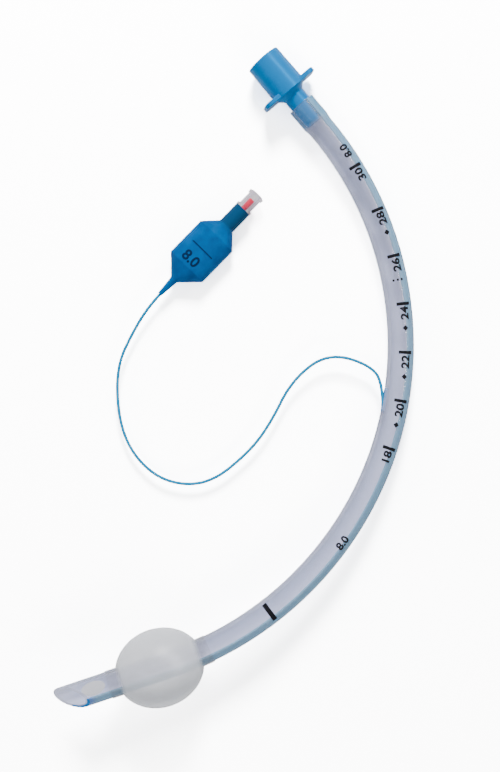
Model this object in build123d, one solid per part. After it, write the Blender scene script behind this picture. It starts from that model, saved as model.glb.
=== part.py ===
from build123d import *
import os
from math import atan2, cos, degrees, hypot, pi, radians, sin, tan

os.makedirs("parts", exist_ok=True)

# Tube
BORE_DIAMETER = 8.0
WALL = 1.5
RI = BORE_DIAMETER / 2
RO = RI + WALL
TUBE_LEN = 333.0
STRAIGHT_MACHINE_END = 12.0
BEND_RADIUS = 137.8
BEND_TURN = 113.1
STRETCH_LEN = 9.6
STRETCH_RI = 4.45
STRETCH_RO = 5.95
BEVEL_DEG = 38.0
BEVEL_TURN_DEG = 30.0
EYE_FROM_TIP = 16.0
EYE_LONG = 10.0
EYE_WIDE = 6.0
BOND_GAP = 0.02

# Inflation lumen in the wall, on the inside of the bend
LUMEN_R = 0.35
LUMEN_AT = 4.75
PLUG_GAP = 0.05
PLUG_PAST_CUFF = 15.5
PLUG_FROM_TIP = 4.8

# Radiopaque stripe in the wall, on the outside of the bend
STRIPE_FROM_DEG = -42.0
STRIPE_TO_DEG = 68.0
STRIPE_COVER = 0.15
STRIPE_THICK = 0.85
STRIPE_GAP = 0.02

# Cuff
CUFF_AT = 288.5
CUFF_R = 16.0
CUFF_HALF_LEN = 17.2
CUFF_SKIN = 0.3
COLLAR_LEN = 4.5
COLLAR_WALL = 0.3
NOTCH_LONG = 4.0
NOTCH_WIDE = 1.0

# Connector, along the tube's axis from the tube's machine end
CONE_LEN = 15.6
CONE_TIP_R = 7.535
CONE_TAPER = 1 / 80
EAR_SPAN = 25.8
EAR_DEEP = 11.0
EAR_THICK = 2.0
STEM_SHOW = 6.9
STEM_R = 4.65
STEM_IN_R = STRETCH_RI - BOND_GAP
STEM_IN_LEN = 9.4
MOUTH_BORE_R = 6.1
MOUTH_BORE_DEPTH = 14.0
STEM_BORE_R = 3.5
MOUTH_Y = STEM_SHOW + EAR_THICK + CONE_LEN
CONE_BASE_R = CONE_TIP_R + CONE_LEN * CONE_TAPER

# Inflation line
LINE_R = 0.65
LINE_END_AT = 138.7
LINE_IN_WALL = 4.95
SLOT_FROM = 129.5
SLOT_TO = 139.6
SLOT_WIDE = 1.74
SLOT_FLOOR = 4.25

# Pilot balloon, along its own axis from the tip of its line neck
BALLOON_AT = (-95.9, -20.7)
BALLOON_TURN = 4.6
NECK_TIP_R = 0.98
NECK_ROOT_R = 1.75
NECK_ROOT = 8.5
HEX_FROM = 16.0
HEX_TO = 33.7
HEX_HALF_WIDE = 9.25
HEX_HALF_THICK = 4.75
VALVE_NECK_FROM = 39.6
VALVE_NECK_TO = 49.45
VALVE_NECK_R = 3.65
BALLOON_WALL = 0.7
LINE_SOCKET = 4.6

# Valve, along the balloon's axis from the rim of its neck
BODY_R = 3.05
PLUG_R = 3.1
RIM_R = 3.8
RIM_T = 1.2
VALVE_OUT = 8.75
VALVE_IN = 8.0
LUER_MOUTH_R = 2.15
LUER_DEPTH = 7.0
LUER_TAPER = 0.03
LUG_R = 3.6
LUG_LEN = 1.4
LUG_WIDE = 2.6
STEM_GUIDE_R = 1.35
PLUNGER_R = 1.3
PLUNGER_TOP = 5.6
SEAT_TOP = -0.6
SEAT_FOOT = -1.2
CHAMBER_R = 2.2
GROOVE_R = 1.0
SEAL_R = 2.0
SEAL_FOOT = -2.1
FOOT_R = 1.75
FOOT_END = -2.9
TAIL_R = 0.6
TAIL_END = -8.6
RETAINER_FROM = -7.0
RETAINER_TO = -7.9
RETAINER_BORE_R = 0.75
SPRING_R = 1.35
SPRING_WIRE_R = 0.2
SPRING_TURNS = 4.5
PLUNGER_TRAVEL = 1.2

COLLAR_R = RO + BOND_GAP + COLLAR_WALL
CUFF_LONG_R = CUFF_HALF_LEN / (1 - (COLLAR_R / CUFF_R) ** 2) ** 0.5
BEND_ARC = radians(BEND_TURN) * BEND_RADIUS
BEND_END = STRAIGHT_MACHINE_END + BEND_ARC
BEND_CENTRE = (-BEND_RADIUS, -STRAIGHT_MACHINE_END)


def heading(s):
    """How far the path has turned at s, in radians."""
    return min(max(s - STRAIGHT_MACHINE_END, 0), BEND_ARC) / BEND_RADIUS


def on_path(s, inward=0.0):
    """Point at s along the tube, moved toward the inside of the bend."""
    t = -heading(s)
    r = BEND_RADIUS - inward
    x = BEND_CENTRE[0] + r * cos(t)
    y = BEND_CENTRE[1] + r * sin(t)
    ahead = min(s - STRAIGHT_MACHINE_END, 0) + max(s - BEND_END, 0)
    return Vector(x + ahead * sin(t), y - ahead * cos(t), 0)


def across(s):
    """Section plane at s: x to the outside of the bend, y up, z toward the tip."""
    t = -heading(s)
    return Plane(origin=on_path(s), x_dir=(cos(t), sin(t), 0), z_dir=(sin(t), -cos(t), 0))


def along_tube(section, s0, s1):
    """Carry a flat section from s0 to s1, round the bend and on along the straight."""
    body = Part()
    if s0 < BEND_END:
        axis = Axis((BEND_CENTRE[0], BEND_CENTRE[1], 0), (0, 0, -1))
        turn = degrees((min(s1, BEND_END) - s0) / BEND_RADIUS)
        body += revolve(across(s0) * section, axis=axis, revolution_arc=turn)
    if s1 > BEND_END:
        start = max(s0, BEND_END)
        body += extrude(across(start) * section, amount=s1 - start, dir=across(start).z_dir)
    return body


def ring(r_out, r_in):
    return Circle(r_out) - Circle(r_in)


def sector(r_in, r_out, a0, a1):
    """Slice of a ring between two angles."""
    corner = [
        (r * cos(radians(a)), r * sin(radians(a)))
        for r, a in ((r_in, a0), (r_out, a0), (r_out, a1), (r_in, a1))
    ]
    return make_face(
        Line(corner[0], corner[1])
        + CenterArc((0, 0), r_out, a0, a1 - a0)
        + Line(corner[2], corner[3])
        + CenterArc((0, 0), r_in, a0, a1 - a0)
    )


def turned(points, a0=0.0, span=360.0):
    """Revolve (radius, along) points about the local z axis, from the angle a0."""
    outline = make_face(Polyline(*[(r, 0, z) for r, z in points], close=True))
    return Rot(0, 0, a0) * revolve(outline, axis=Axis.Z, revolution_arc=span)


def stretched(depth_from, depth_to):
    """Outline of the stretched machine end, between two depths under its surface."""
    s_flat, s_end = STRETCH_LEN, STRAIGHT_MACHINE_END
    return [
        (STRETCH_RO - depth_from, 0),
        (STRETCH_RO - depth_from, s_flat),
        (RO - depth_from, s_end),
        (RO - depth_to, s_end),
        (STRETCH_RO - depth_to, s_flat),
        (STRETCH_RO - depth_to, 0),
    ]


def bevel_cutter():
    """Half space beyond the bevel, which faces up and a little to the outside of the bend."""
    foot = Plane(origin=(0, -RO, 0), z_dir=(0, cos(radians(BEVEL_DEG)), sin(radians(BEVEL_DEG))))
    size = 10 * RO
    block = Box(size, size, size, align=(Align.CENTER, Align.CENTER, Align.MIN))
    return across(TUBE_LEN).location * Rot(0, 0, -BEVEL_TURN_DEG) * foot.location * block


def murphy_eye():
    """Elliptical hole in the lower wall, across from the bevel."""
    down = Plane(origin=(0, 0, 0), x_dir=(0, 0, 1), z_dir=(0, -1, 0))
    hole = extrude(down * Ellipse(EYE_LONG / 2, EYE_WIDE / 2), amount=RO + 2)
    return across(TUBE_LEN - EYE_FROM_TIP).location * hole


def wall_slot(length, width, floor, top):
    """Round-ended block in the inside wall at the middle of the slot."""
    inward = Plane(origin=(-floor, 0, 0), x_dir=(0, 0, 1), z_dir=(-1, 0, 0))
    block = extrude(inward * SlotOverall(length, width), amount=top - floor)
    return across((SLOT_FROM + SLOT_TO) / 2).location * block


def cuff_notch():
    """Opening from the inflation lumen out into the cuff."""
    block = Box(2.0, NOTCH_WIDE, NOTCH_LONG, align=(Align.MAX, Align.CENTER, Align.CENTER))
    return across(CUFF_AT).location * Pos(-LUMEN_AT, 0, 0) * block


def tube_shaft():
    gap = degrees(STRIPE_GAP / RI)
    a0, a1 = STRIPE_FROM_DEG - gap, STRIPE_TO_DEG + gap
    top, foot = STRIPE_COVER - STRIPE_GAP, STRIPE_COVER + STRIPE_THICK + STRIPE_GAP
    section = ring(RO, RI) - sector(RO - foot, RO - top, a0, a1)
    section -= Pos(-LUMEN_AT, 0) * Circle(LUMEN_R)
    body = along_tube(section, STRAIGHT_MACHINE_END, TUBE_LEN)
    end = turned(stretched(0, WALL)) - turned(stretched(top, foot), a0, a1 - a0)
    body += across(0).location * end
    body -= bevel_cutter()
    body -= murphy_eye()
    body -= cuff_notch()
    body -= wall_slot(SLOT_TO - SLOT_FROM, SLOT_WIDE, SLOT_FLOOR, RO + 1)
    return body


def blue_line():
    foot = STRIPE_COVER + STRIPE_THICK
    section = sector(RO - foot, RO - STRIPE_COVER, STRIPE_FROM_DEG, STRIPE_TO_DEG)
    body = along_tube(section, STRAIGHT_MACHINE_END, TUBE_LEN)
    end = turned(stretched(STRIPE_COVER, foot), STRIPE_FROM_DEG, STRIPE_TO_DEG - STRIPE_FROM_DEG)
    return body + across(0).location * end - bevel_cutter()


def lumen_plug():
    """Rod that closes the inflation lumen between the cuff and the bevel."""
    section = Pos(-LUMEN_AT, 0) * Circle(LUMEN_R - PLUG_GAP)
    return along_tube(section, CUFF_AT + PLUG_PAST_CUFF, TUBE_LEN - PLUG_FROM_TIP)


def cuff():
    """Inflated skin with a collar at each end."""
    inner = (CUFF_LONG_R - CUFF_SKIN, CUFF_R - CUFF_SKIN)
    skin, hollow = [
        Rot(0, 90, 0) * revolve(
            make_face(EllipticalCenterArc((0, 0), a, r, arc_size=180) + Line((-a, 0), (a, 0))),
            axis=Axis.X,
        )
        for a, r in ((CUFF_LONG_R, CUFF_R), inner)
    ]
    s0, s1 = CUFF_AT - CUFF_HALF_LEN - COLLAR_LEN, CUFF_AT + CUFF_HALF_LEN + COLLAR_LEN
    place = across(CUFF_AT).location
    body = place * skin + along_tube(Circle(COLLAR_R), s0, s1) - place * hollow
    return body - along_tube(Circle(RO + BOND_GAP), s0 - 1, s1 + 1)


def connector():
    """15 mm male cone, two ears and the stem inside the tube."""
    ear_top = STEM_SHOW + EAR_THICK
    outline = [
        (STEM_BORE_R, -STEM_IN_LEN),
        (STEM_IN_R - 0.5, -STEM_IN_LEN),
        (STEM_IN_R, -STEM_IN_LEN + 1.5),
        (STEM_IN_R, 0.05),
        (STEM_R, 0.05),
        (STEM_R, STEM_SHOW - 2.2),
        (STEM_R + 0.5, STEM_SHOW - 1.6),
        (CONE_BASE_R - 1.13, STEM_SHOW - 0.4),
        (CONE_BASE_R - 0.83, STEM_SHOW),
        (CONE_BASE_R, STEM_SHOW),
        (CONE_BASE_R, ear_top),
        (CONE_TIP_R, MOUTH_Y - 0.4),
        (CONE_TIP_R - 0.4, MOUTH_Y),
        (MOUTH_BORE_R + 0.25, MOUTH_Y),
        (MOUTH_BORE_R, MOUTH_Y - 0.25),
        (MOUTH_BORE_R, MOUTH_Y - MOUTH_BORE_DEPTH),
        (STEM_BORE_R, MOUTH_Y - MOUTH_BORE_DEPTH - 4.0),
    ]
    face = make_face(Polyline(*[(r, y) for r, y in outline], close=True))
    body = revolve(face, axis=Axis.Y)
    plate = Plane(origin=(0, STEM_SHOW, 0), x_dir=(1, 0, 0), z_dir=(0, 1, 0))
    ears = extrude(plate * RectangleRounded(EAR_SPAN, EAR_DEEP, 3.2), amount=EAR_THICK)
    ears = fillet(ears.edges().filter_by(Axis.Y, reverse=True), 0.45)
    ears -= Pos(0, STEM_SHOW + EAR_THICK / 2, 0) * Rot(90, 0, 0) * Cylinder(CONE_BASE_R - 0.6, EAR_THICK + 2)
    return body + ears


def inner_outer(sections):
    """Straight-sided loft through (along, half width, half height) sections."""
    faces = [
        Plane(origin=(a, 0, 0), x_dir=(0, 1, 0), z_dir=(1, 0, 0))
        * (Ellipse(w, h) if w != h else Circle(w))
        for a, w, h in sections
    ]
    return loft(faces, ruled=True)


def pilot_balloon():
    """Hollow blown balloon, hexagonal from above, with a neck at each end."""
    w = BALLOON_WALL
    skin = inner_outer([
        (0, NECK_TIP_R, NECK_TIP_R),
        (NECK_ROOT, NECK_ROOT_R, NECK_ROOT_R),
        (HEX_FROM, HEX_HALF_WIDE, HEX_HALF_THICK),
        (HEX_TO, HEX_HALF_WIDE, HEX_HALF_THICK),
        (VALVE_NECK_FROM, VALVE_NECK_R, VALVE_NECK_R),
        (VALVE_NECK_TO, VALVE_NECK_R, VALVE_NECK_R),
    ])
    bore = PLUG_R + BOND_GAP
    room = inner_outer([
        (LINE_SOCKET, 0.5, 0.5),
        (NECK_ROOT, NECK_ROOT_R - w, NECK_ROOT_R - w),
        (HEX_FROM + 0.3, HEX_HALF_WIDE - w, HEX_HALF_THICK - w),
        (HEX_TO - 0.3, HEX_HALF_WIDE - w, HEX_HALF_THICK - w),
        (VALVE_NECK_FROM, bore, bore),
        (VALVE_NECK_TO + 1, bore, bore),
    ])
    socket = Pos(LINE_SOCKET / 2 - 0.5, 0, 0) * Rot(0, 90, 0)
    return skin - room - socket * Cylinder(LINE_R + BOND_GAP, LINE_SOCKET + 1)


def valve_turned(points):
    """Revolve (radius, along) points about the balloon's axis, along from the neck's rim."""
    return Pos(VALVE_NECK_TO, 0, 0) * Rot(0, 90, 0) * turned(points)


def valve_housing():
    luer_foot = LUER_MOUTH_R - LUER_DEPTH * LUER_TAPER
    body = valve_turned([
        (PLUG_R, -VALVE_IN),
        (PLUG_R, 0.03),
        (RIM_R, 0.03),
        (RIM_R, RIM_T),
        (BODY_R, RIM_T),
        (BODY_R, VALVE_OUT - 0.3),
        (BODY_R - 0.3, VALVE_OUT),
        (LUER_MOUTH_R, VALVE_OUT),
        (luer_foot, VALVE_OUT - LUER_DEPTH),
        (STEM_GUIDE_R, VALVE_OUT - LUER_DEPTH),
        (STEM_GUIDE_R, SEAT_TOP),
        (CHAMBER_R, SEAT_FOOT),
        (CHAMBER_R, -VALVE_IN),
    ])
    lug = Box(LUG_LEN, 2 * LUG_R, LUG_WIDE, align=(Align.MAX, Align.CENTER, Align.CENTER))
    lug &= Rot(0, 90, 0) * Cylinder(LUG_R, 20)
    lug -= Rot(0, 90, 0) * Cylinder(BODY_R - 0.4, 20)
    return body + Pos(VALVE_NECK_TO + VALVE_OUT - 0.35, 0, 0) * lug


def valve_plunger():
    """Plunger with four air grooves, a neck for the seal, a foot and a tail."""
    body = valve_turned([
        (0, TAIL_END),
        (TAIL_R - 0.1, TAIL_END),
        (TAIL_R, TAIL_END + 0.2),
        (TAIL_R, FOOT_END),
        (FOOT_R, FOOT_END),
        (FOOT_R, SEAL_FOOT - BOND_GAP),
        (GROOVE_R, SEAL_FOOT - BOND_GAP),
        (GROOVE_R, -0.64),
        (PLUNGER_R, -0.64),
        (PLUNGER_R, PLUNGER_TOP - 0.25),
        (PLUNGER_R - 0.25, PLUNGER_TOP),
        (0, PLUNGER_TOP),
    ])
    groove = Pos(VALVE_NECK_TO + 1.2, 0, PLUNGER_R) * Box(5.0, 0.5, 0.7)
    for k in range(4):
        body -= Rot(45 + 90 * k, 0, 0) * groove
    return body


def valve_seal():
    slope = (CHAMBER_R - STEM_GUIDE_R) / (SEAT_TOP - SEAT_FOOT)
    seat = lambda r: SEAT_TOP - (r - STEM_GUIDE_R) / slope - 0.03
    return valve_turned([
        (GROOVE_R + BOND_GAP, SEAL_FOOT),
        (SEAL_R, SEAL_FOOT),
        (SEAL_R, seat(SEAL_R)),
        (STEM_GUIDE_R + 0.1, seat(STEM_GUIDE_R + 0.1)),
        (GROOVE_R + BOND_GAP, seat(STEM_GUIDE_R + 0.1)),
    ])


def valve_spring():
    start = RETAINER_FROM + SPRING_WIRE_R + 0.02
    height = FOOT_END - SPRING_WIRE_R - 0.02 - start
    coil = Helix(pitch=height / SPRING_TURNS, height=height, radius=SPRING_R)
    wire = sweep(Plane(origin=coil @ 0, z_dir=coil % 0) * Circle(SPRING_WIRE_R), path=coil)
    return Pos(VALVE_NECK_TO + start, 0, 0) * Rot(0, 90, 0) * wire


def valve_retainer():
    return valve_turned([
        (RETAINER_BORE_R, RETAINER_TO),
        (CHAMBER_R - BOND_GAP, RETAINER_TO),
        (CHAMBER_R - BOND_GAP, RETAINER_FROM),
        (RETAINER_BORE_R, RETAINER_FROM),
    ])


def resting_plane():
    """Slope on which the connector, the bend and the cuff all touch the table."""
    groups = [
        [
            (Vector(0, y, 0), r, Vector(0, 1, 0))
            for y, r in ((MOUTH_Y - 0.4, CONE_TIP_R), (STEM_SHOW, CONE_BASE_R))
        ],
        [(on_path(s), RO, across(s).z_dir) for s in range(14, 260)],
        [
            (on_path(CUFF_AT + x), CUFF_R * (1 - (x / CUFF_LONG_R) ** 2) ** 0.5, Vector())
            for x in [CUFF_HALF_LEN * k / 68 for k in range(-68, 69)]
        ],
    ]
    a = p = q = 0.0
    for _ in range(12):
        low = [
            min(
                (a + p * c.X + q * c.Y - r * (1 - (p * d.X + q * d.Y) ** 2) ** 0.5, i, c, r, d)
                for i, (c, r, d) in enumerate(group)
            )
            for group in groups
        ]
        (x1, y1, z1), (x2, y2, z2), (x3, y3, z3) = [
            (c.X, c.Y, r * (1 - (p * d.X + q * d.Y) ** 2) ** 0.5) for _, _, c, r, d in low
        ]
        d = (x2 - x1) * (y3 - y1) - (x3 - x1) * (y2 - y1)
        p = ((z2 - z1) * (y3 - y1) - (z3 - z1) * (y2 - y1)) / d
        q = ((x2 - x1) * (z3 - z1) - (x3 - x1) * (z2 - z1)) / d
        a = z1 - p * x1 - q * y1
    flat = (1 - p * p) ** 0.5
    x_dir = Vector(flat, 0, p)
    y_dir = Vector(-p * q / flat, (1 - q * q - (p * q / flat) ** 2) ** 0.5, q)
    return Plane(origin=(0, 0, a), x_dir=x_dir, z_dir=x_dir.cross(y_dir))


LAID = resting_plane()
TUBE_PLACE = LAID.location
BALLOON_PLACE = Location((BALLOON_AT[0], BALLOON_AT[1], HEX_HALF_THICK), (0, 0, BALLOON_TURN))


def line_route():
    """Corner points of the line, from its glued end in the wall into the balloon's neck."""
    glued = [LAID.from_local_coords(on_path(LINE_END_AT, LINE_IN_WALL))]
    glued += [LAID.from_local_coords(on_path(130.2, 6.1))]
    free = [
        (-48.4, -101.9, 6.3),
        (-58.8, -85.0, 6.0),
        (-78.0, -83.8, 5.2),
        (-96.5, -91.6, 4.6),
        (-111.4, -94.8, 4.2),
        (-132.7, -93.9, 3.9),
        (-145.7, -81.7, 3.8),
        (-148.6, -64.8, 3.9),
        (-143.2, -48.8, 4.1),
        (-129.5, -31.9, 4.4),
        (-115.0, -25.3, 4.6),
    ]
    t = radians(BALLOON_TURN)
    neck = [
        (BALLOON_AT[0] + d * cos(t), BALLOON_AT[1] + d * sin(t), HEX_HALF_THICK) for d in (-5.5, 4.5)
    ]
    return [Vector(p) for p in glued + free + neck]


def corner_radii(points):
    radii = []
    for a, b, c in zip(points, points[1:], points[2:]):
        turn = radians((b - a).get_angle(c - b))
        radii.append(0.45 * min((b - a).length, (c - b).length) / tan(turn / 2))
    return radii


def inflation_line(radius):
    points = line_route()
    radii = corner_radii(points)
    path = FilletPolyline(*points, radius=radii)
    tube = sweep(Plane(origin=points[0], z_dir=points[1] - points[0]) * Circle(radius), path=path)
    return tube, path, radii


def line_bond():
    """Adhesive that fills the slot round the line."""
    block = wall_slot(SLOT_TO - SLOT_FROM - 0.04, SLOT_WIDE - 0.04, SLOT_FLOOR + BOND_GAP, RO + 0.12)
    return TUBE_PLACE * block - inflation_line(LINE_R + 0.01)[0]


line, line_path, line_radii = inflation_line(LINE_R)
print("line radii", [round(r, 1) for r in line_radii], "length", round(line_path.length, 1))
print("line volume ratio", round(line.volume / (pi * LINE_R**2 * line_path.length), 4))

tube_bound = {
    "tube_shaft": tube_shaft(),
    "blue_line": blue_line(),
    "lumen_plug": lumen_plug(),
    "cuff": cuff(),
    "connector": connector(),
}
balloon_bound = {
    "pilot_balloon": pilot_balloon(),
    "valve_housing": valve_housing(),
    "valve_plunger": valve_plunger(),
    "valve_seal": valve_seal(),
    "valve_spring": valve_spring(),
    "valve_retainer": valve_retainer(),
}
pieces = {name: TUBE_PLACE * shape for name, shape in tube_bound.items()}
pieces |= {name: BALLOON_PLACE * shape for name, shape in balloon_bound.items()}

box = Compound(children=[Part() + p for p in pieces.values()]).bounding_box()
ORIGIN = Pos(-(box.min.X + box.max.X) / 2, -(box.min.Y + box.max.Y) / 2, 0)
lowest = min(p.bounding_box().min.Z for p in pieces.values())

pieces["inflation_line"] = line
pieces["line_bond"] = line_bond()
for name, shape in pieces.items():
    shape = ORIGIN * shape
    export_step(shape, f"parts/{name}.step")
    b = shape.bounding_box()
    print(
        name, "solids", len(shape.solids()), "volume", round(shape.volume, 2), "valid", shape.is_valid,
        [round(v, 2) for v in (b.min.X, b.min.Y, b.min.Z, b.max.X, b.max.Y, b.max.Z)],
    )
print("box", box.size, "shift", ORIGIN.position, "lowest", round(lowest, 3))
print("plane", LAID.origin, LAID.x_dir, LAID.y_dir, LAID.z_dir)
print("route", [tuple(round(v, 2) for v in (ORIGIN.position + p)) for p in line_route()])
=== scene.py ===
from math import atan2, cos, hypot, pi, radians, sin, sqrt

import bmesh
import bpy
from mathutils import Matrix, Vector


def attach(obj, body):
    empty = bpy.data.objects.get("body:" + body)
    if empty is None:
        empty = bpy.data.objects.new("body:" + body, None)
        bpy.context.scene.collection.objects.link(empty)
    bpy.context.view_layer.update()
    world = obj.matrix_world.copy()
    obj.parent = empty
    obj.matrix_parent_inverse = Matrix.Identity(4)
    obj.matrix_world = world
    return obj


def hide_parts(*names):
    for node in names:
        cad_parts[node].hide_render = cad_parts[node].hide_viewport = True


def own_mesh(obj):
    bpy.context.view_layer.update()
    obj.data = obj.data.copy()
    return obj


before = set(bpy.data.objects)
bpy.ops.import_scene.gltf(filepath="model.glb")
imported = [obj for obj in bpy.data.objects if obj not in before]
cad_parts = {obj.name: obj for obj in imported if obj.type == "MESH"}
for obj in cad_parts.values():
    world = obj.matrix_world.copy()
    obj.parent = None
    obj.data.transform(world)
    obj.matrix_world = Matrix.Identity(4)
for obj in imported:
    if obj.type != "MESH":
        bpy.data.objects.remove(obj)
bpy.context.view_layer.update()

MM = 0.001

# The tube, in millimetres: its wall and bend, the end that the connector's stem stretches,
# the lumen and the stripe's channel in the wall, the bevel, and the cuff
TUBE_R = 5.5
TUBE_LONG = 333.0
TUBE_STRAIGHT = 12.0
WALL = 1.5
BEND_RADIUS = 137.8
BEND_ARC = radians(113.1) * BEND_RADIUS
STRETCH = 0.45
STRETCH_TAPER = 2.4
# Where the painted refraction of the connector's blue stem fades out on the tube's wall
STEM_REFRACTION_FADES = (8.4, 9.8)
LUMEN_DEPTH = 0.75
LUMEN_REACH = 0.4
STRIPE_DEPTHS = (0.05, 1.05)
STRIPE_TURNS = (radians(-44.0), radians(70.0))
# Heights above the laid plane over which the stripe is made paler towards the tube's top
STRIPE_PALER_HEIGHTS = (4.5, 5.2)
BEVEL = radians(38.0)
BEVEL_TURN = radians(30.0)
BEVEL_SHOWS = (-2.0, -0.4)
CUFF_AT = 288.5
CUFF_HALF_LONG = 17.2
COLLAR_CLEARS = (-2.0, 0.5)

# The plane that the tube lies in, as the CAD tilts it, in the row frame
LAID_AT = Vector((111.607, 65.203, 7.444))
LAID_Z = Vector((0.072292, -0.040636, 0.996555))
LAID_X = Vector((LAID_Z.z, 0.0, -LAID_Z.x)).normalized()
LAID_Y = LAID_Z.cross(LAID_X)

# The balloon's axis from the tip of its line neck, its flat part, and where painted shade of the
# valve inside starts along its neck
BALLOON_AT = Vector((15.707, 44.503, 4.75))
BALLOON_TURN = radians(4.6)
BALLOON_ALONG = Vector((cos(BALLOON_TURN), sin(BALLOON_TURN), 0.0))
BALLOON_ACROSS = Vector((-sin(BALLOON_TURN), cos(BALLOON_TURN), 0.0))
BALLOON_HALF_WIDE = 9.25
BALLOON_HALF_THICK = 4.75
VALVE_SHADE_FROM = 39.0
VALVE_SHADE_BLUR = 1.5

LINE_DIAMETER = 1.3
LINE_ROUTE = [
    (54.15, -52.35, 6.82),
    (59.76, -46.32, 6.66),
    (63.21, -36.7, 6.3),
    (52.81, -19.8, 6.0),
    (33.61, -18.6, 5.2),
    (15.11, -26.4, 4.6),
    (0.21, -29.6, 4.2),
    (-21.09, -28.7, 3.9),
    (-34.09, -16.5, 3.8),
    (-36.99, 0.4, 3.9),
    (-31.59, 16.4, 4.1),
    (-17.89, 33.3, 4.4),
    (-3.39, 39.9, 4.6),
    (10.23, 44.06, 4.75),
    (20.19, 44.86, 4.75),
]

# The print: places run back from the machine end, rows round the tube from its top
PRINT_LIFT = 0.04
PRINT_THICK = 0.03
PRINT_CUT = (2.0, 0.5)
FIGURE_SHARE = 0.73
FIGURE_BOLD = 0.16
SIZE_MARK = "8.0"
SIZE_MARKS = ((3.4, (-29.5, -2.8)), (3.5, (-200.0, -2.9)))
FIRST_DEPTH = 30
DEPTH_STEP = 2
BARS = 7
FIRST_BAR_AT = 34.0
BAR_STEP = 20.0
BAR_ROW = -1.1
BAR_WIDE, BAR_LONG = 1.3, 5.8
DEPTH_TALL = 3.5
DEPTH_FROM_BAR = 6.6
DEPTH_STRETCH = 1.15
DIAMOND_HALF = 1.2
DOT_R = 0.5
DOT_ROW = -2.1
DOT_STEP = 1.8
CORD_BAND_AT = 238.0
CORD_BAND_ROW = 0.6
CORD_BAND_WIDE, CORD_BAND_LONG = 2.0, 8.6
BALLOON_MARK_AT = 17.5
BALLOON_MARK_TALL = 4.6
BALLOON_RULE_AT = 25.5
BALLOON_RULE_WIDE, BALLOON_RULE_LONG = 0.5, 11.0

# The photograph is taken straight down, its top toward PHOTO_UP
PHOTO_CENTRE = (19.0, -9.0)
PHOTO_UP = Vector((0.656, 0.755, 0.0)).normalized()
PHOTO_RIGHT = Vector((PHOTO_UP.y, -PHOTO_UP.x, 0.0))
PHOTO_TALL = 321.0
PHOTO_LEVEL = 5.5
CAMERA_HEIGHT = 600.0
SENSOR_TALL = 36.0

# The studio, in metres: the lamps, the surroundings, the paper and its brightness
LAMP_AWAY = 1.4
SKY_FILL = 0.3
SKY_SEEN = 12.0
FLOOR_REACH = 3.0
FLOOR_DROP = 0.05 * MM
FLOOR_BRIGHT = 7.2
FLOOR_THROUGH = 0.075
FLOOR_BOUNCE = 0.9
LIGHT_HAZE = 0.22

PVC_IOR = 1.53
PLASTIC_IOR = 1.5


def linear(hex_colour):
    """sRGB hex to linear RGBA."""
    parts = [int(hex_colour[i : i + 2], 16) / 255 for i in (1, 3, 5)]
    return [c / 12.92 if c <= 0.04045 else ((c + 0.055) / 1.055) ** 2.4 for c in parts] + [1.0]


def add_node(tree, kind, sockets=None, **fields):
    """Adds a node, sets its fields, and sets or links its sockets."""
    made = tree.nodes.new(kind)
    for name, value in fields.items():
        setattr(made, name, value)
    for name, value in (sockets or {}).items():
        if isinstance(value, bpy.types.NodeSocket):
            tree.links.new(value, made.inputs[name])
        else:
            made.inputs[name].default_value = value
    return made


def new_object(name, data):
    """An object, linked to the scene, that holds a mesh, curve, lamp or lens."""
    made = bpy.data.objects.new(name, data)
    bpy.context.scene.collection.objects.link(made)
    return made


# A Mix node's colour sockets by index, because its other kinds share their names
MIX_A, MIX_B, MIX_OUT = 6, 7, 2


def pattern_scale(size_mm):
    """The scale of a pattern whose patches are about size_mm across."""
    return 1 / (size_mm * MM)


def new_material(name):
    """An empty material and its tree."""
    material = bpy.data.materials.new(name)
    material.use_nodes = True
    material.node_tree.nodes.clear()
    return material, material.node_tree


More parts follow.
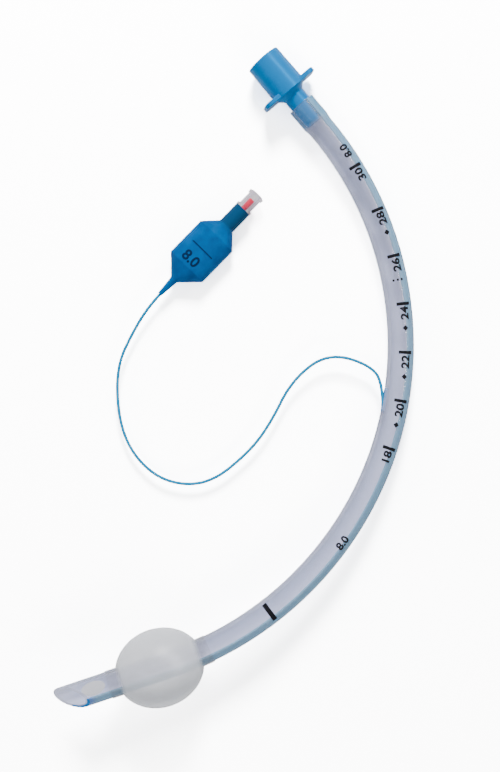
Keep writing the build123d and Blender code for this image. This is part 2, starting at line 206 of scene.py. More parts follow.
def milky_pvc(name, cloudy, clear, roughness, painted_stem_refraction=0.0):
    """Milky PVC, drawn through a die: glossy, with faint lines along its length.

    cloudy is its haze as seen from outside the plastic, clear as seen from within it,
    so that the near wall shows what is behind it and the far wall is a pale backing.
    Its last argument is painted refraction: the connector's stem blue painted on the wall near the
    machine end, where the stem seen through the wall spreads across all of it."""
    material, tree = new_material(name)
    place = add_node(tree, "ShaderNodeTexCoord")
    along = add_node(tree, "ShaderNodeAttribute", attribute_name="along_and_round")
    line_long, line_wide = pattern_scale(125), pattern_scale(0.91)
    drawn = add_node(tree, "ShaderNodeMapping", {
        "Vector": along.outputs["Vector"], "Scale": (line_long, line_wide, line_wide),
    })
    die_lines = add_node(tree, "ShaderNodeTexNoise", {
        "Vector": drawn.outputs[0], "Scale": 1.0, "Detail": 1.0,
    })
    cloud = add_node(tree, "ShaderNodeTexNoise", {
        "Vector": place.outputs["Object"], "Scale": pattern_scale(11.1), "Detail": 2.0,
    })
    tint = add_node(tree, "ShaderNodeMix", {
        "Factor": cloud.outputs["Fac"], MIX_A: linear("#CFD3F2"), MIX_B: linear("#D8DCF7"),
    }, data_type="RGBA")
    # Painted refraction: near the machine end the wall is painted with the stem's blue, fading out
    # between the two given distances
    from_end = add_node(tree, "ShaderNodeSeparateXYZ", {0: along.outputs["Vector"]})
    refraction_full_to, refraction_gone_from = STEM_REFRACTION_FADES
    stem = add_node(tree, "ShaderNodeMapRange", {
        "Value": from_end.outputs[0], "From Min": refraction_full_to * MM, "From Max": refraction_gone_from * MM,
        "To Min": painted_stem_refraction, "To Max": 0.0,
    })
    stem_refraction = add_node(tree, "ShaderNodeMix", {
        "Factor": stem.outputs[0], MIX_A: tint.outputs[MIX_OUT], MIX_B: linear("#4FA4DA"),
    }, data_type="RGBA")
    side = add_node(tree, "ShaderNodeNewGeometry")
    seen = add_node(tree, "ShaderNodeMapRange", {
        "Value": side.outputs["Backfacing"], "To Min": cloudy, "To Max": clear,
    })
    ray = add_node(tree, "ShaderNodeLightPath")
    haze = add_node(tree, "ShaderNodeMix", {
        "Factor": ray.outputs["Is Camera Ray"], "A": LIGHT_HAZE, "B": seen.outputs[0],
    }, data_type="FLOAT")
    bump = add_node(tree, "ShaderNodeBump", {
        "Height": die_lines.outputs["Fac"], "Strength": 0.25, "Distance": 0.03 * MM,
    })
    skin = add_node(tree, "ShaderNodeBsdfPrincipled", {
        "Base Color": stem_refraction.outputs[MIX_OUT], "Roughness": roughness, "IOR": PVC_IOR,
        "Alpha": haze.outputs["Result"], "Normal": bump.outputs[0],
    })
    add_node(tree, "ShaderNodeOutputMaterial", {"Surface": skin.outputs[0]})
    return material


def stripe_pvc():
    """Blue PVC run into the wall with the tube: satin under its clear cover.

    It grows paler towards the tube's top, and looks deep blue where the bevel cuts across it."""
    material, tree = new_material("coextruded_blue_pvc")
    place = add_node(tree, "ShaderNodeTexCoord")
    cloud = add_node(tree, "ShaderNodeTexNoise", {
        "Vector": place.outputs["Object"], "Scale": pattern_scale(3.85), "Detail": 2.0,
    })
    tint = add_node(tree, "ShaderNodeMix", {
        "Factor": cloud.outputs["Fac"], MIX_A: linear("#5C9DBB"), MIX_B: linear("#69A9C5"),
    }, data_type="RGBA")
    height = add_node(tree, "ShaderNodeVectorMath", {
        0: place.outputs["Object"], 1: LAID_Z,
    }, operation="DOT_PRODUCT")
    # The stripe is made paler towards the tube's top, between two heights
    paler_from, paler_to = ((LAID_AT.dot(LAID_Z) + rise) * MM for rise in STRIPE_PALER_HEIGHTS)
    thin = add_node(tree, "ShaderNodeMapRange", {
        "Value": height.outputs["Value"], "From Min": paler_from, "From Max": paler_to,
    })
    graded = add_node(tree, "ShaderNodeMix", {
        "Factor": thin.outputs[0], MIX_A: tint.outputs[MIX_OUT], MIX_B: linear("#86B4CC"),
    }, data_type="RGBA")
    centre, outside, up, tipward = tube_frame(TUBE_LONG)
    high = up * cos(BEVEL_TURN) + outside * sin(BEVEL_TURN)
    bevel = tipward * sin(BEVEL) + high * cos(BEVEL)
    reach = add_node(tree, "ShaderNodeVectorMath", {
        0: place.outputs["Object"], 1: bevel,
    }, operation="DOT_PRODUCT")
    cut_from, cut_to = (((centre - high * TUBE_R).dot(bevel) + off) * MM for off in BEVEL_SHOWS)
    cut = add_node(tree, "ShaderNodeMapRange", {
        "Value": reach.outputs["Value"], "From Min": cut_from, "From Max": cut_to,
    })
    deep = add_node(tree, "ShaderNodeMix", {
        "Factor": cut.outputs[0], MIX_A: graded.outputs[MIX_OUT], MIX_B: linear("#0070BE"),
    }, data_type="RGBA")
    skin = add_node(tree, "ShaderNodeBsdfPrincipled", {
        "Base Color": deep.outputs[MIX_OUT], "Roughness": 0.4, "IOR": PVC_IOR,
        "Specular IOR Level": 0.08,
    })
    add_node(tree, "ShaderNodeOutputMaterial", {"Surface": skin.outputs[0]})
    return material


def cuff_film():
    """Blown PVC film: thin and frosted, cloudier where it turns away.

    It is clear where its collars are bonded to the tube."""
    material, tree = new_material("blown_frosted_film")
    place = add_node(tree, "ShaderNodeTexCoord")
    cloud = add_node(tree, "ShaderNodeTexNoise", {
        "Vector": place.outputs["Object"], "Scale": pattern_scale(7.7), "Detail": 3.0,
    })
    grain = add_node(tree, "ShaderNodeTexNoise", {
        "Vector": place.outputs["Object"], "Scale": pattern_scale(0.625), "Detail": 2.0,
    })
    tint = add_node(tree, "ShaderNodeMix", {
        "Factor": cloud.outputs["Fac"], MIX_A: linear("#DDE0E8"), MIX_B: linear("#E6E8EE"),
    }, data_type="RGBA")
    edge = add_node(tree, "ShaderNodeLayerWeight", {"Blend": 0.4})
    seen = add_node(tree, "ShaderNodeMapRange", {
        "Value": edge.outputs["Facing"], "To Min": 0.33, "To Max": 0.6,
    })
    centre, _, _, tipward = tube_frame(CUFF_AT)
    off = add_node(tree, "ShaderNodeVectorMath", {
        0: place.outputs["Object"], 1: centre * MM,
    }, operation="SUBTRACT")
    reach = add_node(tree, "ShaderNodeVectorMath", {
        0: off.outputs[0], 1: tipward,
    }, operation="DOT_PRODUCT")
    far = add_node(tree, "ShaderNodeMath", {0: reach.outputs["Value"]}, operation="ABSOLUTE")
    collar_from, collar_to = ((CUFF_HALF_LONG + past) * MM for past in COLLAR_CLEARS)
    collar = add_node(tree, "ShaderNodeMapRange", {
        "Value": far.outputs[0], "From Min": collar_from, "From Max": collar_to,
        "To Min": 1.0, "To Max": 0.12,
    })
    film = add_node(tree, "ShaderNodeMath", {
        0: seen.outputs[0], 1: collar.outputs[0],
    }, operation="MULTIPLY")
    ray = add_node(tree, "ShaderNodeLightPath")
    haze = add_node(tree, "ShaderNodeMix", {
        "Factor": ray.outputs["Is Camera Ray"], "A": LIGHT_HAZE, "B": film.outputs[0],
    }, data_type="FLOAT")
    bump = add_node(tree, "ShaderNodeBump", {
        "Height": grain.outputs["Fac"], "Strength": 0.2, "Distance": 0.04 * MM,
    })
    skin = add_node(tree, "ShaderNodeBsdfPrincipled", {
        "Base Color": tint.outputs[MIX_OUT], "Roughness": 0.38, "IOR": PVC_IOR,
        "Alpha": haze.outputs["Result"], "Normal": bump.outputs[0],
    })
    add_node(tree, "ShaderNodeOutputMaterial", {"Surface": skin.outputs[0]})
    return material


def moulded_plastic(name, dark, light, roughness, alpha=1.0, depth_mm=0.03, sheen="#FFFFFF"):
    """Injection-moulded plastic: even colour with slight flow shades and a fine mould grain.

    sheen tints its highlight, as light that goes a little way into clear-bodied colour does."""
    material, tree = new_material(name)
    place = add_node(tree, "ShaderNodeTexCoord")
    flow = add_node(tree, "ShaderNodeTexNoise", {
        "Vector": place.outputs["Object"], "Scale": pattern_scale(6.67), "Detail": 2.0,
    })
    grain = add_node(tree, "ShaderNodeTexNoise", {
        "Vector": place.outputs["Object"], "Scale": pattern_scale(0.35), "Detail": 1.0,
    })
    tint = add_node(tree, "ShaderNodeMix", {
        "Factor": flow.outputs["Fac"], MIX_A: linear(dark), MIX_B: linear(light),
    }, data_type="RGBA")
    bump = add_node(tree, "ShaderNodeBump", {
        "Height": grain.outputs["Fac"], "Strength": 0.3, "Distance": depth_mm * MM,
    })
    skin = add_node(tree, "ShaderNodeBsdfPrincipled", {
        "Base Color": tint.outputs[MIX_OUT], "Roughness": roughness, "IOR": PLASTIC_IOR,
        "Alpha": alpha, "Specular IOR Level": 0.2, "Specular Tint": linear(sheen),
        "Normal": bump.outputs[0],
    })
    add_node(tree, "ShaderNodeOutputMaterial", {"Surface": skin.outputs[0]})
    return material


def blown_blue_pvc():
    """Blue PVC blown and welded: satin, cloudy in patches, with painted shade on the neck where
    the valve inside darkens the film.
    """
    material, tree = new_material("blown_blue_pvc")
    place = add_node(tree, "ShaderNodeTexCoord")
    cloud = add_node(tree, "ShaderNodeTexNoise", {
        "Vector": place.outputs["Object"], "Scale": pattern_scale(4.76), "Detail": 3.0,
    })
    patches = add_node(tree, "ShaderNodeMapRange", {
        "Value": cloud.outputs["Fac"], "From Min": 0.35, "From Max": 0.65,
    })
    tint = add_node(tree, "ShaderNodeMix", {
        "Factor": patches.outputs[0], MIX_A: linear("#00437C"), MIX_B: linear("#00508E"),
    }, data_type="RGBA")
    # Painted shade: the neck over the valve is darkened, standing in for the valve inside seen
    # through the blue film
    reach = add_node(tree, "ShaderNodeVectorMath", {
        0: place.outputs["Object"], 1: BALLOON_ALONG,
    }, operation="DOT_PRODUCT")
    valve_shade_at = BALLOON_AT.dot(BALLOON_ALONG) + VALVE_SHADE_FROM
    valve_shade = add_node(tree, "ShaderNodeMapRange", {
        "Value": reach.outputs["Value"], "From Min": (valve_shade_at - VALVE_SHADE_BLUR) * MM,
        "From Max": (valve_shade_at + VALVE_SHADE_BLUR) * MM,
    })
    deep = add_node(tree, "ShaderNodeMix", {
        "Factor": valve_shade.outputs[0], MIX_A: tint.outputs[MIX_OUT], MIX_B: linear("#0D3A5E"),
    }, data_type="RGBA")
    bump = add_node(tree, "ShaderNodeBump", {
        "Height": cloud.outputs["Fac"], "Strength": 0.3, "Distance": 0.1 * MM,
    })
    skin = add_node(tree, "ShaderNodeBsdfPrincipled", {
        "Base Color": deep.outputs[MIX_OUT], "Roughness": 0.55, "IOR": PVC_IOR,
        "Specular IOR Level": 0.15, "Specular Tint": linear("#00B4FF"),
        "Normal": bump.outputs[0],
    })
    add_node(tree, "ShaderNodeOutputMaterial", {"Surface": skin.outputs[0]})
    return material


def clear_moulding():
    """Clear moulded plastic: seen through face on, and greyer where its surface turns away."""
    material, tree = new_material("clear_moulded_plastic")
    edge = add_node(tree, "ShaderNodeLayerWeight", {"Blend": 0.35})
    seen = add_node(tree, "ShaderNodeMapRange", {
        "Value": edge.outputs["Facing"], "To Min": 0.03, "To Max": 0.8,
    })
    ray = add_node(tree, "ShaderNodeLightPath")
    haze = add_node(tree, "ShaderNodeMix", {
        "Factor": ray.outputs["Is Camera Ray"], "A": LIGHT_HAZE, "B": seen.outputs[0],
    }, data_type="FLOAT")
    place = add_node(tree, "ShaderNodeTexCoord")
    flow = add_node(tree, "ShaderNodeTexNoise", {
        "Vector": place.outputs["Object"], "Scale": pattern_scale(2.5), "Detail": 2.0,
    })
    tint = add_node(tree, "ShaderNodeMix", {
        "Factor": flow.outputs["Fac"], MIX_A: linear("#BDB2CC"), MIX_B: linear("#CCC2D9"),
    }, data_type="RGBA")
    skin = add_node(tree, "ShaderNodeBsdfPrincipled", {
        "Base Color": tint.outputs[MIX_OUT], "Roughness": 0.15, "IOR": PLASTIC_IOR,
        "Alpha": haze.outputs["Result"],
    })
    add_node(tree, "ShaderNodeOutputMaterial", {"Surface": skin.outputs[0]})
    return material


def spring_steel():
    """Drawn stainless wire: bright, with fine lines from the die."""
    material, tree = new_material("drawn_spring_steel")
    place = add_node(tree, "ShaderNodeTexCoord")
    lines = add_node(tree, "ShaderNodeTexNoise", {
        "Vector": place.outputs["Object"], "Scale": pattern_scale(0.25), "Detail": 1.0,
    })
    shade = add_node(tree, "ShaderNodeMapRange", {
        "Value": lines.outputs["Fac"], "To Min": 0.2, "To Max": 0.38,
    })
    skin = add_node(tree, "ShaderNodeBsdfPrincipled", {
        "Base Color": linear("#C3C8C6"), "Metallic": 1.0, "Roughness": shade.outputs[0],
    })
    add_node(tree, "ShaderNodeOutputMaterial", {"Surface": skin.outputs[0]})
    return material


def print_ink(name, dark, light):
    """Pad-printed ink: matt, a little thin in places."""
    material, tree = new_material(name)
    place = add_node(tree, "ShaderNodeTexCoord")
    wear = add_node(tree, "ShaderNodeTexNoise", {
        "Vector": place.outputs["Object"], "Scale": pattern_scale(0.4), "Detail": 2.0,
    })
    tint = add_node(tree, "ShaderNodeMix", {
        "Factor": wear.outputs["Fac"], MIX_A: linear(dark), MIX_B: linear(light),
    }, data_type="RGBA")
    skin = add_node(tree, "ShaderNodeBsdfPrincipled", {
        "Base Color": tint.outputs[MIX_OUT], "Roughness": 0.7, "IOR": PLASTIC_IOR,
        "Specular IOR Level": 0.03,
    })
    add_node(tree, "ShaderNodeOutputMaterial", {"Surface": skin.outputs[0]})
    return material


def dress(name, material):
    """Gives a CAD node its finish."""
    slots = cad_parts[name].data.materials
    slots.clear()
    slots.append(material)


# Places on the tube and the balloon

def tube_frame(s):
    """Centre of the tube at s, and its outside, up and tipward directions."""
    turn = -min(max(s - TUBE_STRAIGHT, 0), BEND_ARC) / BEND_RADIUS
    ahead = min(s - TUBE_STRAIGHT, 0) + max(s - TUBE_STRAIGHT - BEND_ARC, 0)
    outside = LAID_X * cos(turn) + LAID_Y * sin(turn)
    tipward = LAID_X * sin(turn) - LAID_Y * cos(turn)
    bend_centre = LAID_AT - LAID_X * BEND_RADIUS - LAID_Y * TUBE_STRAIGHT
    return bend_centre + outside * BEND_RADIUS + tipward * ahead, outside, LAID_Z, tipward


def off_tube(point):
    """How far along the tube a point is, and how far off its axis to the bend's outside and up."""
    place = point / MM - LAID_AT
    dx, dy = place.dot(LAID_X) + BEND_RADIUS, place.dot(LAID_Y) + TUBE_STRAIGHT
    s = TUBE_STRAIGHT + max(atan2(-dy, dx), 0) * BEND_RADIUS
    if dy > 0:
        s = TUBE_STRAIGHT - dy
    centre, outside, up, tipward = tube_frame(min(s, TUBE_STRAIGHT + BEND_ARC))
    off = point / MM - centre
    if s > TUBE_STRAIGHT + BEND_ARC:
        s = TUBE_STRAIGHT + BEND_ARC + off.dot(tipward)
    return s, off.dot(outside), off.dot(up)


def onto_tube(point):
    """Lays a point of the flat print on the tube.

    x runs to the machine end, y to the inside of the bend."""
    centre, outside, up, _ = tube_frame(-point.x)
    angle = -point.y / TUBE_R
    return (centre + (outside * sin(angle) + up * cos(angle)) * (TUBE_R + point.z)) * MM


def onto_balloon(point):
    """Lays a point of the flat print on the balloon: x along it from its line neck."""
    rise = BALLOON_HALF_THICK * sqrt(1 - (point.y / BALLOON_HALF_WIDE) ** 2)
    flat = BALLOON_AT + BALLOON_ALONG * point.x + BALLOON_ACROSS * point.y
    return (flat + Vector((0, 0, rise + point.z))) * MM


# Pieces

def as_piece(name, bm, body, materials):
    """A finished piece, in the row frame, that rides on a body."""
    mesh = bpy.data.meshes.new(name)
    bm.to_mesh(mesh)
    bm.free()
    for material in materials:
        mesh.materials.append(material)
    piece = new_object(name, mesh)
    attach(piece, body)
    return piece


def wall_part(centre, normal):
    """Which part of the wall a face is: 0 skin, 1 bore, 2 cut, 3 a channel in the wall."""
    s, x, y = off_tube(centre)
    _, outside, up, tipward = tube_frame(s)
    r, turn = hypot(x, y), atan2(y, x)
    facing = normal.dot(outside * (x / r) + up * (y / r))
    stretched = STRETCH * min(max((TUBE_STRAIGHT - s) / STRETCH_TAPER, 0), 1)
    depth = TUBE_R + stretched - r
    if facing > 0.7 and depth < 0.1 * WALL:
        return 0
    if facing < -0.7 and depth > 0.9 * WALL:
        return 1
    if abs(x + TUBE_R - LUMEN_DEPTH) < LUMEN_REACH and abs(y) < LUMEN_REACH:
        return 3
    (shallow, deep), (turn_from, turn_to) = STRIPE_DEPTHS, STRIPE_TURNS
    if shallow < depth < deep and turn_from < turn < turn_to and abs(normal.dot(tipward)) < 0.5:
        return 3
    return 2


def tube_wall(finishes):
    """The CAD tube's own surface, merged, with a finish for each part of its wall."""
    bm = bmesh.new()
    bm.from_mesh(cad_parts["tube_shaft"].data)
    bmesh.ops.remove_doubles(bm, verts=bm.verts[:], dist=1e-6)
    bmesh.ops.dissolve_degenerate(bm, edges=bm.edges[:], dist=1e-7)
    for f in bm.faces:
        f.material_index = wall_part(f.calc_center_median(), f.normal)
        f.smooth = True
    for e in bm.edges:
        one_part = len({f.material_index for f in e.link_faces}) == 1
        e.smooth = one_part and len(e.link_faces) == 2 and e.calc_face_angle(0) < radians(30)
    drawn = bm.verts.layers.float_vector.new("along_and_round")
    for v in bm.verts:
        v[drawn] = Vector(off_tube(v.co)) * MM
    wall = as_piece("tube_wall", bm, "tube", finishes)
    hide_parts("tube_shaft")


def mark_tree():
    """Geometry Nodes: a row of equal flat marks, each a polygon that is turned, then stretched."""
    tree = bpy.data.node_groups.new("row_of_marks", "GeometryNodeTree")
    for name, kind in (
        ("Count", "NodeSocketInt"), ("Start", "NodeSocketVector"), ("Step", "NodeSocketVector"),
        ("Corners", "NodeSocketInt"), ("Turn", "NodeSocketVector"),
        ("Half Size", "NodeSocketVector"), ("Ink", "NodeSocketMaterial"),
    ):
        tree.interface.new_socket(name, in_out="INPUT", socket_type=kind)
    tree.interface.new_socket("Geometry", in_out="OUTPUT", socket_type="NodeSocketGeometry")
    given = add_node(tree, "NodeGroupInput").outputs
    row = add_node(tree, "GeometryNodeMeshLine", {
        "Count": given["Count"], "Start Location": given["Start"], "Offset": given["Step"],
    })
    polygon = add_node(tree, "GeometryNodeMeshCircle", {
        "Vertices": given["Corners"], "Radius": 1.0,
    }, fill_type="NGON")
    turned = add_node(tree, "GeometryNodeTransform", {
        "Geometry": polygon.outputs[0], "Rotation": given["Turn"],
    })
    sized = add_node(tree, "GeometryNodeTransform", {
        "Geometry": turned.outputs[0], "Scale": given["Half Size"],
    })
    placed = add_node(tree, "GeometryNodeInstanceOnPoints", {
        "Points": row.outputs[0], "Instance": sized.outputs[0],
    })
    real = add_node(tree, "GeometryNodeRealizeInstances", {"Geometry": placed.outputs[0]})
    inked = add_node(tree, "GeometryNodeSetMaterial", {
        "Geometry": real.outputs[0], "Material": given["Ink"],
    })
    add_node(tree, "NodeGroupOutput", {"Geometry": inked.outputs[0]})
    return tree


def flat_mesh(holder):
    """The mesh that a holder's text or modifier makes, in place of the holder."""
    made = holder.evaluated_get(bpy.context.evaluated_depsgraph_get())
    mesh = bpy.data.meshes.new_from_object(made)
    bpy.data.objects.remove(holder)
    return mesh


def marks(tree, ink, at, half_size, corners=4, turn=0.0, count=1, step=(0.0, 0.0)):
    """One row of flat marks, the first at a point."""
    holder = new_object("marks", bpy.data.meshes.new("marks"))
    modifier = holder.modifiers.new("marks", "NODES")
    modifier.node_group = tree
    values = {
        "Count": count, "Start": (*at, 0.0), "Step": (*step, 0.0), "Corners": corners,
        "Turn": (0.0, 0.0, turn), "Half Size": (*half_size, 1.0), "Ink": ink,
    }
    for socket in tree.interface.items_tree:
        if socket.in_out == "INPUT":
            modifier[socket.identifier] = values[socket.name]
    return flat_mesh(holder)


def bars(tree, ink, at, wide, long, **row):
    """A row of flat bars: squares on their corners, turned, then stretched to a size."""
    return marks(tree, ink, at, (wide / sqrt(2), long / sqrt(2)), turn=pi / 4, **row)


def figures(text, tall, start, stretch=1.0):
    """Plain flat figures, tall in millimetres, that start at a point."""
    curve = bpy.data.curves.new("figures", "FONT")
    curve.body = text
    curve.size = tall / FIGURE_SHARE
    curve.resolution_u = 4
    curve.offset = FIGURE_BOLD
    mesh = flat_mesh(new_object("figures", curve))
    mesh.transform(Matrix.Translation((*start, 0)) @ Matrix.Diagonal((stretch, 1, 1, 1)))
    return mesh


def printed(name, flats, ink, lay):
    """Joins flat marks, cuts them fine, lays them on a surface and gives the ink its thickness."""
    bm = bmesh.new()
    for flat in flats:
        bm.from_mesh(flat)
        bpy.data.meshes.remove(flat)
    for axis, step in enumerate(PRINT_CUT):
        low = min(v.co[axis] for v in bm.verts)
        high = max(v.co[axis] for v in bm.verts)
        normal = Vector((0, 0, 0))
        normal[axis] = 1
        at = low + step
        while at < high:
            bmesh.ops.bisect_plane(bm, geom=bm.verts[:] + bm.edges[:] + bm.faces[:],
                                   plane_co=normal * at, plane_no=normal, dist=1e-5)
            at += step
    bmesh.ops.remove_doubles(bm, verts=bm.verts[:], dist=1e-4)
    flat_faces = list(bm.faces)
    rim = [e for e in bm.edges if len(e.link_faces) == 1]
    top = {v: lay(Vector((v.co.x, v.co.y, PRINT_LIFT))) for v in bm.verts}
    foot = {v: lay(Vector((v.co.x, v.co.y, PRINT_LIFT - PRINT_THICK))) for v in bm.verts}
    under = {v: bm.verts.new(foot[v]) for v in top}
    for f in flat_faces:
        bm.faces.new([under[v] for v in reversed(f.verts)])
    for e in rim:
        loop = e.link_loops[0]
        a, b = loop.vert, loop.link_loop_next.vert
        bm.faces.new([b, a, under[a], under[b]])
    for v, place in top.items():
        v.co = place
    as_piece(name, bm, "tube", [ink])


def bar_at(k):
    """Where the k-th depth bar is on the flat print."""
    return -(FIRST_BAR_AT + BAR_STEP * k)


def tube_print(tree, ink):
    """Depth bars with their centimetres, small marks between, the size, the vocal cords' band."""
    diamond = (DIAMOND_HALF, DIAMOND_HALF)
    toward_tip = (-BAR_STEP, 0.0)
    flats = [
        bars(tree, ink, (bar_at(0), BAR_ROW), BAR_WIDE, BAR_LONG, count=BARS, step=toward_tip),
        marks(tree, ink, (bar_at(1.5), BAR_ROW), diamond),
        marks(tree, ink, (bar_at(3.5), BAR_ROW), diamond, count=3, step=toward_tip),
        marks(tree, ink, (bar_at(2.5), DOT_ROW), (DOT_R, DOT_R), corners=16, count=3,
              step=(0.0, DOT_STEP)),
        bars(tree, ink, (-CORD_BAND_AT, CORD_BAND_ROW), CORD_BAND_WIDE, CORD_BAND_LONG),
    ]
    for k in range(BARS):
        start = (bar_at(k) - DEPTH_FROM_BAR, BAR_ROW - DEPTH_TALL / 2)
        depth = str(FIRST_DEPTH - DEPTH_STEP * k)
        flats.append(figures(depth, DEPTH_TALL, start, stretch=DEPTH_STRETCH))
    for tall, start in SIZE_MARKS:
        flats.append(figures(SIZE_MARK, tall, start))
    printed("depth_marks", flats, ink, onto_tube)


def balloon_print(tree, ink):
    """The size across the balloon, with a thin rule beside it."""
    size = figures(SIZE_MARK, BALLOON_MARK_TALL, (-BALLOON_MARK_TALL, 0.0))
    turned = Matrix.Rotation(-pi / 2, 4, "Z")
    size.transform(Matrix.Translation((BALLOON_MARK_AT, 0, 0)) @ turned)
    rule = bars(tree, ink, (BALLOON_RULE_AT, 0.0), BALLOON_RULE_WIDE, BALLOON_RULE_LONG)
    printed("balloon_size_mark", [size, rule], ink, onto_balloon)


def press_spring():
    """Gives the valve's spring a mesh of its own."""
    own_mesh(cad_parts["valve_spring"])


def inflation_cord(material):
    """The inflation line on one smooth NURBS line through the CAD's route."""
    curve = bpy.data.curves.new("inflation_cord", "CURVE")
    curve.dimensions = "3D"
    spline = curve.splines.new("NURBS")
    spline.points.add(len(LINE_ROUTE) - 1)
    for point, place in zip(spline.points, LINE_ROUTE):
        point.co = [v * MM for v in place] + [1.0]
    spline.order_u = 3
    spline.use_endpoint_u = True
    spline.resolution_u = 16
    curve.bevel_depth = LINE_DIAMETER / 2 * MM
    curve.bevel_resolution = 5
    curve.use_fill_caps = True
    curve.materials.append(material)
    cord = new_object("inflation_cord", curve)
    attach(cord, "tube")
    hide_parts("inflation_line")


# Studio

def paper_floor():
    """White paper, lit far above the object as on a product photographer's table.

    Seen through plastic it is dimmed to the brightness that the object is lit to."""
    material, tree = new_material("white_paper")
    place = add_node(tree, "ShaderNodeTexCoord")
    fibre = add_node(tree, "ShaderNodeTexNoise", {
        "Vector": place.outputs["Object"], "Scale": pattern_scale(1.43), "Detail": 3.0,
    })
    paper = add_node(tree, "ShaderNodeMapRange", {
        "Value": fibre.outputs["Fac"], "To Min": 0.99, "To Max": 1.0,
    })
    ray = add_node(tree, "ShaderNodeLightPath")
    through = add_node(tree, "ShaderNodeMapRange", {
        "Value": ray.outputs["Transparent Depth"],
        "To Min": FLOOR_BRIGHT, "To Max": FLOOR_BRIGHT * FLOOR_THROUGH,
    })
    seen = add_node(tree, "ShaderNodeMix", {
        "Factor": ray.outputs["Is Camera Ray"], "A": FLOOR_BOUNCE, "B": through.outputs[0],
    }, data_type="FLOAT")
    bright = add_node(tree, "ShaderNodeVectorMath", {
        0: (1, 1, 1), "Scale": seen.outputs["Result"],
    }, operation="SCALE")
    toned = add_node(tree, "ShaderNodeVectorMath", {
        0: bright.outputs[0], "Scale": paper.outputs[0],
    }, operation="SCALE")
    skin = add_node(tree, "ShaderNodeBsdfDiffuse", {"Color": toned.outputs[0]})
    add_node(tree, "ShaderNodeOutputMaterial", {"Surface": skin.outputs[0]})
    mesh = bpy.data.meshes.new("paper_floor")
    corners = ((-1, -1), (1, -1), (1, 1), (-1, 1))
    mesh.from_pydata([(FLOOR_REACH * x, FLOOR_REACH * y, -FLOOR_DROP) for x, y in corners], [],
                     [(0, 1, 2, 3)])
    mesh.materials.append(material)
    new_object("paper_floor", mesh)


def soft_light(name, side, elevation, watts, size, sheen_only=False):
    """A soft box that looks at the object from a side, given in the photograph's directions.

    sheen_only leaves it to the highlights, so that it doesn't thin the shadows."""
    lamp = bpy.data.lights.new(name, "AREA")
    lamp.shape = "RECTANGLE"
    lamp.size, lamp.size_y = size
    lamp.energy = watts
    holder = new_object(name, lamp)
    flat = (PHOTO_RIGHT * side[0] + PHOTO_UP * side[1]).normalized()
    away = flat * cos(radians(elevation)) + Vector((0, 0, sin(radians(elevation))))
    holder.location = Vector((*PHOTO_CENTRE, 0)) * MM + away * LAMP_AWAY
    holder.rotation_euler = (-away).to_track_quat("-Z", "Y").to_euler()
    holder.visible_diffuse = not sheen_only


def camera():
    """The camera over the middle of the photograph, which it fills at PHOTO_LEVEL."""
    lens = bpy.data.cameras.new("photo_camera")
    lens.sensor_fit = "VERTICAL"
    lens.sensor_height = SENSOR_TALL
    lens.lens = SENSOR_TALL * (CAMERA_HEIGHT - PHOTO_LEVEL) / PHOTO_TALL
    lens.clip_start = 0.01
    holder = new_object("photo_camera", lens)
    turn = Matrix((PHOTO_RIGHT, PHOTO_UP, (0, 0, 1))).transposed().to_4x4()
    place = Vector((*PHOTO_CENTRE, CAMERA_HEIGHT)) * MM
    holder.matrix_world = Matrix.Translation(place) @ turn
    bpy.context.scene.camera = holder


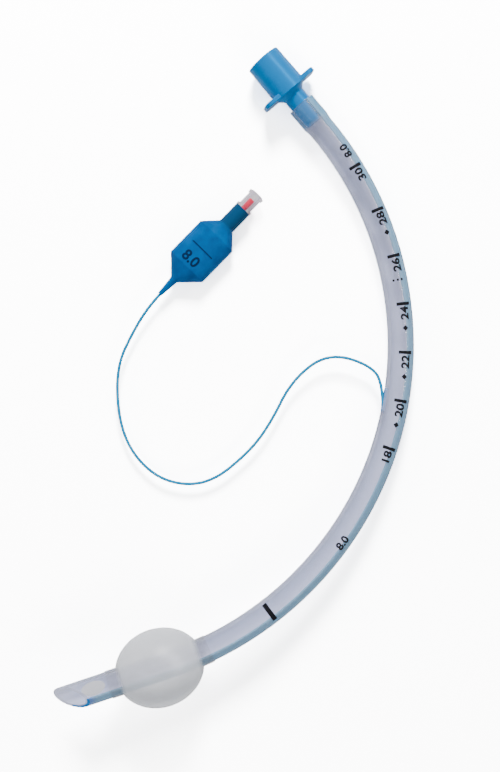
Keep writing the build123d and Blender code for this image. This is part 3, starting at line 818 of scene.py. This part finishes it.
def studio():
    """White surroundings, which light little, and the soft boxes round the table."""
    world = bpy.data.worlds.new("studio")
    bpy.context.scene.world = world
    world.use_nodes = True
    tree = world.node_tree
    tree.nodes.clear()
    ray = add_node(tree, "ShaderNodeLightPath")
    strength = add_node(tree, "ShaderNodeMapRange", {
        "Value": ray.outputs["Is Camera Ray"], "To Min": SKY_FILL, "To Max": SKY_SEEN,
    })
    sky = add_node(tree, "ShaderNodeBackground", {
        "Color": (1, 1, 1, 1), "Strength": strength.outputs[0],
    })
    add_node(tree, "ShaderNodeOutputWorld", {"Surface": sky.outputs[0]})
    soft_light("top_box", side=(0, 1), elevation=36, watts=34, size=(0.35, 0.35))
    soft_light("bottom_box", side=(0.5, -1), elevation=34, watts=7.5, size=(1.2, 0.4))
    soft_light("left_box", side=(-1, 0.2), elevation=32, watts=4, size=(1.2, 0.4))
    soft_light("lower_left_box", side=(-1, -1), elevation=61, watts=4, size=(1.2, 0.25))
    soft_light("upper_right_sheen", side=(1, 0.7), elevation=46, watts=66, size=(1.8, 0.34),
               sheen_only=True)


camera()
studio()
paper_floor()

inflation_cord(moulded_plastic(
    "tinted_line_pvc", "#0078AA", "#0086B8", 0.35, depth_mm=0.0, sheen="#20C0FF",
))
tube_wall([
    # The skin and bore carry the painted refraction of the blue stem near the machine end
    milky_pvc("drawn_pvc_skin", cloudy=0.15, clear=0.80, roughness=0.13, painted_stem_refraction=0.75),
    milky_pvc("drawn_pvc_bore", cloudy=0.85, clear=0.08, roughness=0.3, painted_stem_refraction=0.75),
    milky_pvc("drawn_pvc_cut", cloudy=0.55, clear=0.3, roughness=0.35),
    milky_pvc("drawn_pvc_channel", cloudy=0.04, clear=0.04, roughness=0.4),
])

FINISH = {
    "lumen_plug": moulded_plastic(
        "cured_clear_adhesive", "#B4B6C8", "#BFC1D0", 0.2, alpha=0.5,
    ),
    "blue_line": stripe_pvc(),
    "cuff": cuff_film(),
    "connector": moulded_plastic(
        "moulded_blue_polypropylene", "#0069A9", "#0073B3", 0.28, sheen="#00B0FF",
    ),
    "line_bond": moulded_plastic(
        "cured_blue_adhesive", "#1468A4", "#1C74B0", 0.4, sheen="#20A0FF",
    ),
    "pilot_balloon": blown_blue_pvc(),
    "valve_housing": clear_moulding(),
    "valve_plunger": moulded_plastic(
        "moulded_red_acetal", "#F0003A", "#F80A44", 0.4, sheen="#FF3050",
    ),
    "valve_seal": moulded_plastic("moulded_black_rubber", "#16171A", "#222327", 0.6),
    "valve_spring": spring_steel(),
    "valve_retainer": moulded_plastic("moulded_white_plastic", "#E4E4E2", "#F2F2F0", 0.35),
}
for node_name, material in FINISH.items():
    dress(node_name, material)

row_of_marks = mark_tree()
tube_print(row_of_marks, print_ink("pad_printed_black", "#0C0D11", "#1A1B20"))
balloon_print(row_of_marks, print_ink("pad_printed_blue", "#021B38", "#052447"))
press_spring()
